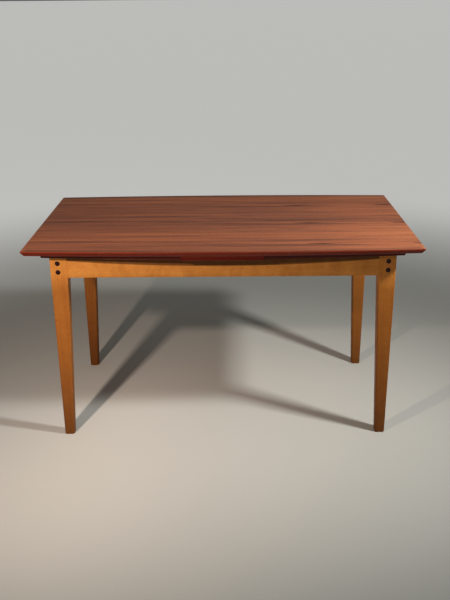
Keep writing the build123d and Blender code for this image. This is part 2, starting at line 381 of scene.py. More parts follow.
class Fibres:
    """Directions and patterns of a piece's grain inside a graph."""

    wander = Streak(0.8, 0.05, 1)
    seed_step = 3.1
    order_step = 7.3
    pore_edge = 0.72
    pore_softness = 0.08

    def __init__(self, graph: Graph, cut: Cut) -> None:
        """Turns the table's axes into the piece's own."""
        x, y, z = graph.place()
        axes = {
            Grain.LENGTHWAYS: (x, y, z),
            Grain.CROSSWAYS: (y, x, z),
            Grain.UPRIGHT: (z, x, y),
        }
        self.graph = graph
        self.cut = cut
        self.along, self.across, self.through = axes[cut.grain]
        self.height = z
        self.point = graph.combine(self.along, self.across, self.through)

    def streaks(self, layer: Streak) -> Value:
        """Noise from 0 to 1, drawn out along the grain."""
        scale = (1 / layer.length, 1 / layer.width, 1 / layer.width)
        shift = self.cut.seed * self.seed_step + layer.order * self.order_step
        return self.graph.noise(self.point, scale, shift, layer.detail, layer.roughness)

    def rings(self, spacing: float, stray: float) -> Value:
        """Growth rings round the pith.

        Args:
            spacing: from ring to ring, in metres.
            stray: how far a ring wanders, in metres.

        Returns:
            A value that climbs from 0 to 1 through each ring and then drops.
        """
        across = self.across - self.cut.pith[0]
        through = self.through - self.cut.pith[1]
        radius = (across * across + through * through).math("SQRT")
        strayed = radius + self.streaks(self.wander) * stray
        return (strayed / spacing).fraction()

    def pores(self, length: float, width: float, share: float) -> Value:
        """Open pores, as short dashes along the grain.

        Args:
            length: of a dash, in metres.
            width: of a dash, in metres.
            share: how much of the surface they take, from 0 to 1.

        Returns:
            1 in a pore and 0 beside it.
        """
        grain = self.streaks(Streak(length, width, 2, 0.0))
        edge = self.pore_edge - share
        return grain.between(edge, edge + self.pore_softness)


@dataclass(frozen=True)
class Timber:
    """A wood with an oiled or waxed surface.

    Attributes:
        name: of the wood.
        stops: its colours from dark to light.
        ring_spacing: in metres.
        ring_depth: how much the rings darken it.
        streak_depth: how much broad streaks change its tone.
        fibre_depth: how much fine fibres change its tone.
        pore_size: length and width of a pore, in metres.
        pore_share: share of the surface with pores.
        pore_colour: colour inside a pore.
        roughness: of the surface between the pores.
        bump: depth of the pores, in metres.
        gloss: strength of its reflections.
        pore_blend: how much of the pores' colour shows.
        pore_roughness: how much rougher they are.
        pore_relief: share of the bump that they take.
        ring_stray: how far a ring wanders, in metres.
        ring_middle: mean of a ring's squared ramp, which keeps the tone even.
        wear: how much handling changes the roughness.
        broad: the broad streaks.
        fine: the fine fibres.
        worn: the patches of wear.
        nap: the fibres' relief.
    """

    name: str
    stops: tuple[tuple[float, Colour], ...]
    ring_spacing: float
    ring_depth: float
    streak_depth: float
    fibre_depth: float
    pore_size: tuple[float, float]
    pore_share: float
    pore_colour: Colour
    roughness: float
    bump: float = 0.00012
    gloss: float = 0.15
    pore_blend: float = 0.75
    pore_roughness: float = 0.2
    pore_relief: float = 0.8
    ring_stray: float = 0.02
    ring_middle: float = 0.33
    wear: float = 0.16
    broad: Streak = Streak(0.55, 0.022, 3, 3.0, 0.55)
    fine: Streak = Streak(0.09, 0.0014, 4)
    worn: Streak = Streak(0.12, 0.05, 5, 3.0)
    nap: Streak = Streak(0.03, 0.0009, 6, 1.0)

    def figure(self, fibres: Fibres) -> Value:
        """Tone of the figure.

        Args:
            fibres: the piece's grain.

        Returns:
            A value round 0.5, darker below and lighter above.
        """
        rings = fibres.rings(self.ring_spacing, self.ring_stray)
        broad = fibres.streaks(self.broad) - MIDDLE
        fine = fibres.streaks(self.fine) - MIDDLE
        tone = MIDDLE + fibres.cut.tone - (rings * rings - self.ring_middle) * self.ring_depth
        return tone + broad * self.streak_depth + fine * self.fibre_depth

    def darkening_and_painted_shade(self, graph: Graph, fibres: Fibres,
               base: bpy.types.NodeSocket) -> bpy.types.NodeSocket:
        """What darkening, scuffs and painted shade do to the colour; nothing on most woods."""
        return base

    def surface(self, graph: Graph, cut: Cut) -> Surface:
        """The wood's pattern on one piece.

        Args:
            graph: of the material.
            cut: how the piece was sawn.

        Returns:
            Its colour, roughness and height.
        """
        fibres = Fibres(graph, cut)
        tone = self.figure(fibres)
        pores = fibres.pores(*self.pore_size, self.pore_share)
        base = self.darkening_and_painted_shade(graph, fibres, graph.ramp(tone, self.stops))
        base = graph.blend(pores * self.pore_blend, base, self.pore_colour)
        worn = fibres.streaks(self.worn) - MIDDLE
        nap = fibres.streaks(self.nap)
        roughness = self.roughness + worn * self.wear + pores * self.pore_roughness
        height = 1 - pores * self.pore_relief - nap * (1 - self.pore_relief)
        return Surface(base, roughness, height)

    def board(self, name: str, cut: Cut) -> bpy.types.Material:
        """The material of one piece.

        Args:
            name: of the piece.
            cut: how it was sawn.

        Returns:
            The finished material.
        """
        graph = Graph.of_material(f"{self.name}_{name}")
        return graph.finish(self.surface(graph, cut), self.bump, {"Specular IOR Level": self.gloss})


@dataclass(frozen=True)
class TeakVeneer(Timber):
    """Slip-matched teak veneer, its leaves side by side across the table.

    Attributes:
        leaf_width: of one veneer leaf, in metres.
        slip: how far each leaf's figure lags behind the last, in metres.
        heart: place of the heart across a leaf, from its middle, in metres.
        heart_depth: how far below the surface the pith lies where the table's middle is.
        heart_slope: how fast it rises along the leaf.
        thickness: of the veneer, in metres.
        skin_edge: how softly it ends, in metres.
        painted_highlight_depth: how far down the edge the painted highlight reaches, in metres.
        painted_highlight_full: where that is complete.
        painted_highlight_colour: of the painted highlight on the edge's upper part.
        painted_highlight_blend: how much of that colour shows.
        streaks: each layer of streaks and its share of the streak depth.
        band: distances from the band's middle where its darker wood fades in.
        band_place: the band's middle across the table, in metres.
        band_depth: how much darker it is.
        joint: places across a leaf where its joint starts and is full.
        joint_depth: how much darker the joint is.
        leaf_lag: keeps one leaf's pattern a little off the next.
        heartwood: the layer that bends the rings.
        bend: how far it moves them across and in depth, in metres.
        ring_line: places in a ring where its dark line starts, is full and ends.
        crown_half: distances from the heart where the crown's marks show.
        crown_start: places along the table from which they show, in metres.
        crown_depth: how much darker they are.
        fine: the fine fibres.
    """

    leaf_width: float = 0.26
    slip: float = 0.024
    heart: float = -0.048
    heart_depth: float = 0.0321
    heart_slope: float = 0.019
    thickness: float = 0.0006
    skin_edge: float = 0.0001
    painted_highlight_depth: float = 0.006
    painted_highlight_full: float = 0.0036
    painted_highlight_colour: Colour = colour("a8481a")
    painted_highlight_blend: float = 0.3
    streaks: tuple[tuple[Streak, float], ...] = (
        (Streak(1.1, 0.045, 3, 2.0, 0.55), 0.9),
        (Streak(0.42, 0.017, 7, 2.0, 0.55), 0.9),
        (Streak(0.24, 0.006, 12, 2.0, 0.55), 0.6),
    )
    band: tuple[float, float] = (0.13, 0.02)
    band_place: float = 0.03
    band_depth: float = 0.12
    joint: tuple[float, float] = (0.4965, 0.499)
    joint_depth: float = 0.12
    leaf_lag: float = 0.0011
    heartwood: Streak = Streak(0.5, 0.07, 1)
    bend: tuple[float, float] = (0.006, 0.003)
    ring_line: tuple[float, float, float] = (0.76, 0.9, 0.96)
    crown_half: tuple[float, float] = (0.024, 0.004)
    crown_start: tuple[float, float] = (0.1, 0.24)
    crown_depth: float = 0.5
    fine: Streak = Streak(0.07, 0.0013, 4)

    def figure(self, fibres: Fibres) -> Value:
        """Tone of the figure, with the pointed arches of a log sliced through its crown."""
        graph = fibres.graph
        stacked = fibres.across / self.leaf_width + 0.5
        leaf = stacked.whole()
        across = (stacked.fraction() - 0.5) * self.leaf_width
        along = fibres.along + leaf * self.slip
        band = abs(fibres.across - self.band_place).between(*self.band)
        joint = abs(stacked.fraction() - 0.5).between(*self.joint)
        fibres.point = graph.combine(along, across, leaf * self.leaf_lag)
        stray = fibres.streaks(self.heartwood) - MIDDLE
        side = across - self.heart + stray * self.bend[0]
        depth = self.heart_depth - along * self.heart_slope + stray * self.bend[1]
        radius = (side * side + depth * depth).math("SQRT")
        rings = (radius / self.ring_spacing).fraction()
        start, full, end = self.ring_line
        line = rings.between(start, full) * rings.between(1.0, end)
        crown = abs(side).between(*self.crown_half) * along.between(*self.crown_start)
        tone = MIDDLE + fibres.cut.tone - line * (crown * self.crown_depth + self.ring_depth)
        tone = tone - band * self.band_depth
        for layer, share in self.streaks:
            tone = tone + (fibres.streaks(layer) - MIDDLE) * (share * self.streak_depth)
        fine = fibres.streaks(self.fine) - MIDDLE
        return tone + fine * self.fibre_depth - joint * self.joint_depth

    def over(self, timber: Timber, name: str, cut: Cut, under: Cut,
             faces: tuple[float, float]) -> bpy.types.Material:
        """Veneer laid over a solid lipping, with a painted highlight along its upper edge.

        Args:
            timber: of the lipping.
            name: of the piece.
            cut: of the veneer.
            under: of the lipping.
            faces: heights of the board's two faces, in metres.

        Returns:
            The finished material.
        """
        graph = Graph.of_material(f"{self.name}_over_{name}")
        height = graph.place()[2]
        low, high = faces
        skin = self.thickness
        above = height.between(high - skin - self.skin_edge, high - skin)
        below = height.between(low + skin + self.skin_edge, low + skin)
        veneer = self.surface(graph, cut)
        solid = timber.surface(graph, under)
        # painted highlight: the upper millimetres of the edge are lightened, as where the arris
        # catches the light
        worn = height.between(high - self.painted_highlight_depth, high - self.painted_highlight_full)
        base = graph.blend(worn * self.painted_highlight_blend, solid.base, self.painted_highlight_colour)
        solid = replace(solid, base=base)
        surface = solid.under(veneer, above.math("MAXIMUM", below), graph)
        return graph.finish(surface, self.bump, {"Specular IOR Level": self.gloss})


@dataclass(frozen=True)
class Oak(Timber):
    """Oak, with rays that flash on quartered faces, darker towards the floor, and a painted
    overhang shadow.

    Attributes:
        leg_height: where the legs end, in metres.
        shades: what its colour is multiplied by at shares of that height.
        leg_cloud: the layer that makes those shades uneven, and by how many metres.
        ripple: how much bands across the grain change its tone.
        ripples: the bands.
        fleck: how much the rays darken it.
        rays: the rays.
        ray_edge: where in their noise a ray starts and is full.
        painted_shadow: how strongly the painted shadow of the boards' overhang darkens it.
        painted_shadow_colour: colour of that painted shadow.
        overhang_level: height above which that shows in the middle, in metres.
        overhang_bow: how that height climbs with the distance from the middle, squared.
        overhang_edge: how softly that strip ends, in metres.
        scuffs: the layer of scuffs at the foot.
        scuff_edge: where in its noise a scuff starts and is full.
        scuff_reach: height below which scuffs show, in metres.
        scuff_blend: how much of their colour shows.
        scuff_colour: of a scuff.
    """

    leg_height: float = 0.7
    shades: tuple[tuple[float, Colour], ...] = (
        (0.0, (0.26, 0.21, 0.17)),
        (0.22, (0.38, 0.31, 0.26)),
        (0.5, (0.51, 0.43, 0.35)),
        (0.79, (0.59, 0.51, 0.43)),
        (0.885, (1.0, 1.0, 1.0)),
    )
    leg_cloud: tuple[Streak, float] = (Streak(0.2, 0.06, 10), 0.03)
    ripple: float = 0.14
    ripples: Streak = Streak(0.022, 0.06, 8, 2.0, 0.6)
    fleck: float = 0.14
    rays: Streak = Streak(0.009, 0.0021, 9, 1.0)
    ray_edge: tuple[float, float] = (0.56, 0.7)
    painted_shadow: float = 0.0
    painted_shadow_colour: Colour = colour("2a1206")
    overhang_level: float = 0.6448
    overhang_bow: float = 0.075
    overhang_edge: float = 0.002
    scuffs: Streak = Streak(0.012, 0.01, 11, 3.0)
    scuff_edge: tuple[float, float] = (0.58, 0.7)
    scuff_reach: float = 0.06
    scuff_blend: float = 0.5
    scuff_colour: Colour = colour("3a2415")

    def figure(self, fibres: Fibres) -> Value:
        """Tone of the figure, with ripples across the grain and rays."""
        tone = super().figure(fibres)
        ripples = fibres.streaks(self.ripples) - MIDDLE
        flashes = fibres.streaks(self.rays).between(*self.ray_edge)
        return tone + ripples * self.ripple - flashes * self.fleck

    def darkening_and_painted_shade(self, graph: Graph, fibres: Fibres,
               base: bpy.types.NodeSocket) -> bpy.types.NodeSocket:
        """Darkens it towards the floor, paints the shadow of the boards' overhang on it, and scuffs
        the foot.

        Args:
            graph: of the material.
            fibres: the piece's grain.
            base: its plain colour.

        Returns:
            Its colour with those marks.
        """
        layer, amount = self.leg_cloud
        cloud = fibres.streaks(layer) - MIDDLE
        share = (fibres.height + cloud * amount) / self.leg_height
        shaded = graph.blend(1.0, base, graph.ramp(share, self.shades), "MULTIPLY")
        # painted shadow: a dark strip above a line that follows the shadow of the boards' overhang
        level = fibres.along * fibres.along * self.overhang_bow + self.overhang_level
        above = (fibres.height - level).between(-self.overhang_edge, self.overhang_edge)
        shaded = graph.blend(above * self.painted_shadow, shaded, self.painted_shadow_colour)
        scuffs = fibres.streaks(self.scuffs).between(*self.scuff_edge)
        reach = fibres.height.between(self.scuff_reach, 0.0)
        return graph.blend(scuffs * reach * self.scuff_blend, shaded, self.scuff_colour)


@dataclass(frozen=True)
class Rosewood:
    """Polished rosewood of the plugs, with near-black veins.

    Attributes:
        light: colour between the veins.
        dark: colour of a vein.
        veins: the veins.
        vein_edge: where in their noise the dark ends and the light is full.
        fine: the fine fibres.
        polish: roughness at its smoothest, and how much the fibres add.
        bump: depth of the fibres, in metres.
        gloss: strength of its reflections.
    """

    light: Colour = colour("300c10")
    dark: Colour = colour("0e0304")
    veins: Streak = Streak(0.02, 0.0012, 1, 3.0, 0.6)
    vein_edge: tuple[float, float] = (0.3, 0.7)
    fine: Streak = Streak(0.006, 0.0003, 2, 1.0)
    polish: tuple[float, float] = (0.26, 0.14)
    bump: float = 0.00003
    gloss: float = 0.25

    def board(self, name: str, cut: Cut) -> bpy.types.Material:
        """The material of a plug.

        Args:
            name: of the piece.
            cut: how it was turned.

        Returns:
            The finished material.
        """
        graph = Graph.of_material(f"rosewood_{name}")
        fibres = Fibres(graph, cut)
        veins = fibres.streaks(self.veins).between(*self.vein_edge)
        fine = fibres.streaks(self.fine)
        smooth, rough = self.polish
        surface = Surface(
            graph.blend(veins, self.dark, self.light), smooth + fine * rough, 1 - fine
        )
        return graph.finish(surface, self.bump, {"Specular IOR Level": self.gloss})


@dataclass(frozen=True)
class Steel:
    """Bright screw steel, dulled by handling.

    Attributes:
        bright: colour where it is clean.
        dull: colour where it isn't.
        cloud_scale: patches of dirt per metre.
        scratch_scale: scratches per metre, mostly across the screws.
        dirt_edge: where in its noise the dirt starts and is full.
        polish: roughness when clean, and what dirt and scratches add.
        bump: depth of the scratches, in metres.
    """

    bright: Colour = (0.56, 0.55, 0.52)
    dull: Colour = (0.25, 0.23, 0.2)
    cloud_scale: tuple[float, float, float] = (160.0, 160.0, 160.0)
    scratch_scale: tuple[float, float, float] = (400.0, 2600.0, 400.0)
    dirt_edge: tuple[float, float] = (0.45, 0.75)
    polish: tuple[float, float, float] = (0.3, 0.25, 0.1)
    bump: float = 0.00002

    def metal(self, name: str) -> bpy.types.Material:
        """The material of a set of screws.

        Args:
            name: of the set.

        Returns:
            The finished material.
        """
        graph = Graph.of_material(f"steel_{name}")
        point = graph.combine(*graph.place())
        cloud = graph.noise(point, self.cloud_scale, shift=1.0, detail=3.0, roughness=0.6)
        scratches = graph.noise(point, self.scratch_scale, shift=4.0)
        dirt = cloud.between(*self.dirt_edge)
        base = graph.blend(dirt, self.bright, self.dull)
        clean, dirty, scratched = self.polish
        roughness = clean + dirt * dirty + scratches * scratched
        return graph.finish(Surface(base, roughness, scratches), self.bump, {"Metallic": 1.0})


VENEER = TeakVeneer(
    name="teak_veneer",
    stops=(
        (0.0, colour("523025")),
        (0.3, colour("7f4d3b")),
        (0.55, colour("a76142")),
        (0.8, colour("bb744c")),
        (1.0, colour("ca885f")),
    ),
    ring_spacing=0.0068,
    ring_depth=0.07,
    streak_depth=0.8,
    fibre_depth=0.2,
    pore_size=(0.006, 0.00045),
    pore_share=0.06,
    pore_colour=colour("3a1a0e"),
    roughness=0.42,
)
TEAK = Timber(
    name="teak",
    stops=(
        (0.0, colour("2c0502")),
        (0.35, colour("5a1305")),
        (0.55, colour("721c07")),
        (0.8, colour("8e2c0b")),
        (1.0, colour("a84212")),
    ),
    ring_spacing=0.0042,
    ring_depth=0.16,
    streak_depth=0.3,
    fibre_depth=0.16,
    pore_size=(0.006, 0.00045),
    pore_share=0.07,
    pore_colour=colour("2a0c05"),
    roughness=0.46,
    gloss=0.04,
)
OAK = Oak(
    name="oak",
    stops=(
        (0.0, colour("7a4519")),
        (0.35, colour("b9732f")),
        (0.55, colour("d48c40")),
        (0.8, colour("e6a355")),
        (1.0, colour("f0b76c")),
    ),
    ring_spacing=0.0031,
    ring_depth=0.14,
    streak_depth=0.26,
    fibre_depth=0.14,
    pore_size=(0.011, 0.0004),
    pore_share=0.06,
    pore_colour=colour("7a451c"),
    roughness=0.46,
    pore_blend=0.5,
)
APRON_OAK = replace(
    OAK,
    name="apron_oak",
    streak_depth=0.22,
    ripple=0.42,
    ripples=Streak(0.035, 0.06, 8, 2.0, 0.6),
    fleck=0.04,
    # the aprons get the painted shadow of the boards' overhang
    painted_shadow=0.76,
)
BEECH = Timber(
    name="beech",
    stops=(
        (0.0, colour("8a5c3a")),
        (0.35, colour("b98a60")),
        (0.55, colour("c99b70")),
        (0.8, colour("d6ac83")),
        (1.0, colour("e0bb95")),
    ),
    ring_spacing=0.0036,
    ring_depth=0.1,
    streak_depth=0.14,
    fibre_depth=0.1,
    pore_size=(0.0025, 0.0006),
    pore_share=0.12,
    pore_colour=colour("8f6038"),
    roughness=0.55,
    bump=0.00005,
)
ROSEWOOD = Rosewood()
STEEL = Steel()


# Modelling by hand -------------------------------------------------------------------------


def dress(name: str, material: bpy.types.Material) -> None:
    """Puts a material on every slot of a CAD node.

    Args:
        name: of the node.
        material: its new finish.
    """
    node = frame["nodes"][name]
    for place in range(len(node.data.materials)):
        node.data.materials[place] = material
    log.info("%s: dressed in %s", name, material.name)


def deselect_all() -> None:
    """Leaves nothing selected, so that the next operator acts on its own piece."""
    for piece in bpy.data.objects:
        piece.select_set(False)


def start_editing(piece: bpy.types.Object) -> None:
    """Selects one piece and opens its mesh, with nothing in it selected."""
    deselect_all()
    bpy.context.view_layer.objects.active = piece
    piece.select_set(True)
    bpy.ops.object.mode_set(mode="EDIT")
    bpy.ops.mesh.select_all(action="DESELECT")


def stop_editing() -> None:
    """Closes the mesh."""
    bpy.ops.object.mode_set(mode="OBJECT")


def select_faces(piece: bpy.types.Object, wanted: Callable[[bpy.types.MeshPolygon], bool]) -> None:
    """Selects some faces of the piece that is open.

    Args:
        piece: the piece in edit mode.
        wanted: says which faces.
    """
    bpy.ops.object.mode_set(mode="OBJECT")
    for face in piece.data.polygons:
        face.select = wanted(face)
    bpy.ops.object.mode_set(mode="EDIT")
    bpy.ops.mesh.select_mode(type="FACE")


def apply_place(piece: bpy.types.Object) -> None:
    """Moves the piece's place, turn and scale into its mesh."""
    deselect_all()
    bpy.context.view_layer.objects.active = piece
    piece.select_set(True)
    bpy.ops.object.transform_apply(location=True, rotation=True, scale=True)


def eased_copy(name: str, body: str, easing: float,
               material: bpy.types.Material) -> bpy.types.Object:
    """A copy of a CAD node with its sharp arrises taken off, as with a block plane.

    Args:
        name: of the node it stands for.
        body: it rides on.
        easing: width of the rounded arris, in metres.
        material: its finish.

    Returns:
        The new piece.
    """
    piece = bpy.data.objects.new(f"{name}_eased", frame["nodes"][name].data.copy())
    bpy.context.scene.collection.objects.link(piece)
    start_editing(piece)
    bpy.ops.mesh.select_all(action="SELECT")
    bpy.ops.mesh.remove_doubles(threshold=WELD_GAP)
    bpy.ops.mesh.dissolve_limited(angle_limit=FLAT_ANGLE)
    stop_editing()
    bevel = piece.modifiers.new("arrises", "BEVEL")
    bevel.width = easing
    bevel.segments = 2
    bevel.limit_method = "ANGLE"
    bevel.angle_limit = ARRIS_ANGLE
    bpy.ops.object.modifier_apply(modifier=bevel.name)
    bpy.ops.object.shade_smooth_by_angle(angle=radians(35))
    piece.data.materials.clear()
    piece.data.materials.append(material)
    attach(piece, body)
    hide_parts(name)
    log.info("%s: %d faces, in %s", piece.name, len(piece.data.polygons), material.name)
    return piece


# Sub-assemblies ----------------------------------------------------------------------------


@dataclass
class LippedBoard:
    """A veneered board with solid lippings, as the top, a leaf or the centre board.

    Attributes:
        name: start of its nodes' names.
        seed: keeps its figure apart from the others'.
        tone: makes the whole board darker or lighter.
        face_dullness: how much darker the long lippings are on their flat faces.
        painted_edge_shade: makes the solid wood of the lippings darker, as painted shade under the
            top's overhang, or lighter.
        pith: from a lipping's middle to its log's centre, sideways and up, in metres.
    """

    name: str
    seed: float
    tone: float = 0.0
    face_dullness: float = 0.28
    painted_edge_shade: float = 0.0
    pith: tuple[float, float] = (0.05, 0.03)

    def dress(self) -> None:
        """Finishes the panel and each lipping that the board has."""
        veneer = Cut(Grain.LENGTHWAYS, (0.0, 0.0), self.seed, self.tone)
        panel = f"{self.name}_panel"
        dress(panel, VENEER.board(panel, veneer))
        low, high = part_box(panel)
        aside, up = self.pith
        for order, side in enumerate(("front", "back")):
            node = f"{self.name}_lipping_{side}"
            edge_low, edge_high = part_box(node)
            pith = ((edge_low.y + edge_high.y) / 2 - aside, high.z + up)
            cut = Cut(Grain.LENGTHWAYS, pith, self.seed + order + 1, self.painted_edge_shade)
            dull = replace(veneer, seed=cut.seed, tone=self.tone - self.face_dullness)
            dress(node, VENEER.over(TEAK, node, dull, cut, (low.z, high.z)))
        for order, side in enumerate(("left", "right", "inner", "outer")):
            node = f"{self.name}_lipping_{side}"
            if node in frame["nodes"]:
                edge_low, edge_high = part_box(node)
                pith = ((edge_low.x + edge_high.x) / 2 - aside, high.z + up)
                cut = Cut(Grain.CROSSWAYS, pith, self.seed + order + 3, self.painted_edge_shade)
                dress(node, VENEER.over(TEAK, node, veneer, cut, (low.z, high.z)))


@dataclass
class TableTop:
    """The loose top, which two pegs hold over the centre board.

    Attributes:
        board: with its lippings.
        peg_cut: how the guide pegs were sawn.
    """

    board: LippedBoard = field(default_factory=lambda: LippedBoard("top", 1.0))
    peg_cut: Cut = Cut(Grain.UPRIGHT, (0.2, 0.4), 21.0)

    def dress(self) -> None:
        """Finishes the top and its guide pegs."""
        self.board.dress()
        dress("guide_pegs", BEECH.board("guide_pegs", self.peg_cut))


@dataclass
class DrawLeaf:
    """One leaf that draws out on two lopers.

    Attributes:
        side: left or right.
        seed: keeps its figure apart from the others'.
        easing: width of the lopers' rounded arrises, in metres.
        painted_edge_shade: makes the solid wood of its lippings darker, as painted shade under the
            top's overhang.
        pith: from a loper to its log's centre, sideways and up, in metres.
        peg_pith: the log's centre of the stop pegs.
    """

    side: str
    seed: float
    easing: float = 1.0 * MILLIMETRE
    # painted shade: the leaf's edges are darkened where the top's overhang shades them
    painted_edge_shade: float = -0.3
    pith: tuple[float, float] = (0.04, 0.02)
    peg_pith: tuple[float, float] = (0.3, 0.6)

    def build(self) -> None:
        """Eases and finishes the lopers."""
        aside, up = self.pith
        for order, place in enumerate(("front", "back")):
            node = f"{self.side}_loper_{place}"
            low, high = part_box(node)
            cut = Cut(Grain.LENGTHWAYS, (low.y - aside, high.z + up), self.seed + 5 + order)
            material = BEECH.board(node, cut)
            eased_copy(node, f"{self.side}_leaf", self.easing, material)

    def dress(self) -> None:
        """Finishes the board, the stop pegs and the screws."""
        LippedBoard(f"{self.side}_leaf", self.seed, painted_edge_shade=self.painted_edge_shade).dress()
        pegs = Cut(Grain.CROSSWAYS, self.peg_pith, self.seed + 8)
        dress(f"{self.side}_stop_pegs", BEECH.board(f"{self.side}_stop_pegs", pegs))
        dress(f"{self.side}_loper_screws", STEEL.metal(f"{self.side}_loper_screws"))


@dataclass
class CentreBoard:
    """The fixed board between the leaves."""

    # painted shade: the centre board's edges are darkened where the top's overhang shades them
    board: LippedBoard = field(
        default_factory=lambda: LippedBoard("centre_board", 9.0, painted_edge_shade=-0.12)
    )

    def dress(self) -> None:
        """Finishes the board and its screws."""
        self.board.dress()
        dress("centre_board_screws", STEEL.metal("centre_board_screws"))


@dataclass
class Plugs:
    """Domed rosewood plugs over the corner screws, two on each leg.

    Attributes:
        radius: of a plug, in metres.
        depth: from its back to its rim.
        crown: how far the dome stands out.
        rim: width of the rounded rim.
        rows: rings of faces in the dome.
        sides: faces round a plug.
        crease: edges sharper than this are rounded, in degrees.
    """

    radius: float = 8.5 * MILLIMETRE
    depth: float = 9.0 * MILLIMETRE
    crown: float = 0.9 * MILLIMETRE
    rim: float = 0.35 * MILLIMETRE
    rows: int = 5
    sides: int = 40
    crease: float = 50.0

    def model(self) -> bpy.types.Object:
        """Models one plug upright at the origin, its back down.

        Returns:
            The plug, to be copied.
        """
        deselect_all()
        bpy.ops.mesh.primitive_cylinder_add(
            vertices=self.sides, radius=self.radius, depth=self.depth,
            location=(0, 0, self.depth / 2),
        )
        plug = bpy.context.object
        apply_place(plug)
        start_editing(plug)
        select_faces(plug, lambda face: face.normal.z > 0.9)
        step = self.radius / (self.rows + 1)
        for row in range(self.rows):
            bpy.ops.mesh.inset(thickness=step)
            before = 1 - ((self.rows + 1 - row) / (self.rows + 1)) ** 2
            after = 1 - ((self.rows - row) / (self.rows + 1)) ** 2
            bpy.ops.transform.translate(value=(0, 0, (after - before) * self.crown))
        bpy.ops.mesh.poke()
        stop_editing()
        bevel = plug.modifiers.new("rim", "BEVEL")
        bevel.width = self.rim
        bevel.segments = 3
        bevel.limit_method = "ANGLE"
        bevel.angle_limit = radians(self.crease)
        bpy.ops.object.modifier_apply(modifier=bevel.name)
        bpy.ops.object.shade_smooth_by_angle(angle=ARRIS_ANGLE)
        return plug

    def build(self) -> None:
        """Models a plug and sets a copy over each corner screw."""
        pattern = self.model()
        finishes = [
            ROSEWOOD.board(f"plug_{order}", Cut(grain, (0.0, 0.0), order * 2.0))
            for order, grain in enumerate((Grain.LENGTHWAYS, Grain.UPRIGHT))
        ]
        for end in ("front", "back"):
            for side in ("left", "right"):
                self._fit(pattern, end, side, finishes)
        bpy.data.objects.remove(pattern)

    def _fit(self, pattern: bpy.types.Object, end: str, side: str,
             finishes: list[bpy.types.Material]) -> None:
        """Sets the two plugs of one leg.

        Args:
            pattern: the plug to copy.
            end: front or back.
            side: left or right.
            finishes: materials to alternate.
        """
        low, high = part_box(f"leg_{end}_{side}")
        outwards = -1 if end == "front" else 1
        face = low.y if end == "front" else high.y
        low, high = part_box("corner_plugs")
        middle = high.x - self.radius if side == "right" else low.x + self.radius
        for order, height in enumerate((low.z + self.radius, high.z - self.radius)):
            plug = pattern.copy()
            plug.data = pattern.data.copy()
            plug.name = f"plug_{end}_{side}_{order + 1}"
            bpy.context.scene.collection.objects.link(plug)
            turn = Matrix.Rotation(-outwards * pi / 2, 4, "X")
            place = Vector((middle, face - outwards * self.depth, height))
            plug.matrix_world = Matrix.Translation(place) @ turn
            apply_place(plug)
            plug.data.materials.clear()
            plug.data.materials.append(finishes[order])
            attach(plug, "frame")
            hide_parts("corner_plugs")
        log.info("two plugs in leg_%s_%s", end, side)


@dataclass
class Underframe:
    """Legs, aprons, rails, blocks and what holds them together.

    Attributes:
        easing: width of the rounded arrises, in metres.
        pith_reach: from a piece to its log's centre, in metres.
        leg_pith: how much farther each next leg's is, as a share, and how far forward.
        painted_leg_shades: tones of the legs painted darker than the others, as shade where the key
            light reaches them less.
        apron_seed: keeps the aprons' figure apart.
        inside_seed: the same for the rails and blocks.
        leg_seed: the same for the legs.
    """

    easing: float = 0.9 * MILLIMETRE
    pith_reach: float = 0.07
    leg_pith: tuple[float, float] = (0.2, 0.03)
    # painted shade: the front right leg, farthest from the key light, is darkened
    painted_leg_shades: dict[str, float] = field(default_factory=lambda: {"leg_front_right": -0.07})
    apron_seed: float = 30.0
    inside_seed: float = 40.0
    leg_seed: float = 50.0

    def build(self) -> None:
        """Eases the sawn pieces and finishes them."""
        aprons = {
            "front_apron": Grain.LENGTHWAYS,
            "back_apron": Grain.LENGTHWAYS,
            "left_apron": Grain.CROSSWAYS,
            "right_apron": Grain.CROSSWAYS,
        }
        for order, (name, grain) in enumerate(aprons.items()):
            self._ease(name, APRON_OAK, grain, self.apron_seed + order)
        rails = {f"cross_rail_{side}": Grain.CROSSWAYS for side in ("left", "right")}
        blocks = {
            f"corner_block_{end}_{side}": Grain.UPRIGHT
            for end in ("front", "back") for side in ("left", "right")
        }
        for order, (name, grain) in enumerate({**rails, **blocks}.items()):
            self._ease(name, BEECH, grain, self.inside_seed + order)

    def _ease(self, name: str, timber: Timber, grain: Grain, seed: float) -> None:
        """Eases one sawn piece.

        Args:
            name: of its node.
            timber: it is made of.
            grain: which way its fibres run.
            seed: keeps its figure apart.
        """
        low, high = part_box(name)
        across, through = (low.x, low.y) if grain is Grain.UPRIGHT else (low.y, high.z)
        if grain is Grain.CROSSWAYS:
            across = low.x
        cut = Cut(grain, (across - self.pith_reach, through + self.pith_reach), seed)
        eased_copy(name, "frame", self.easing, timber.board(name, cut))

    def dress(self) -> None:
        """Finishes the legs and the screws."""
        legs = [f"leg_{end}_{side}" for end in ("front", "back") for side in ("left", "right")]
        farther, forward = self.leg_pith
        for order, name in enumerate(legs):
            low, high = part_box(name)
            pith = (high.x + self.pith_reach * (1 + farther * order), low.y - forward)
            cut = Cut(Grain.UPRIGHT, pith, self.leg_seed + order, self.painted_leg_shades.get(name, 0.0))
            dress(name, OAK.board(name, cut))
        for name in ("corner_block_screws", "corner_screws"):
            dress(name, STEEL.metal(name))


# Studio ------------------------------------------------------------------------------------


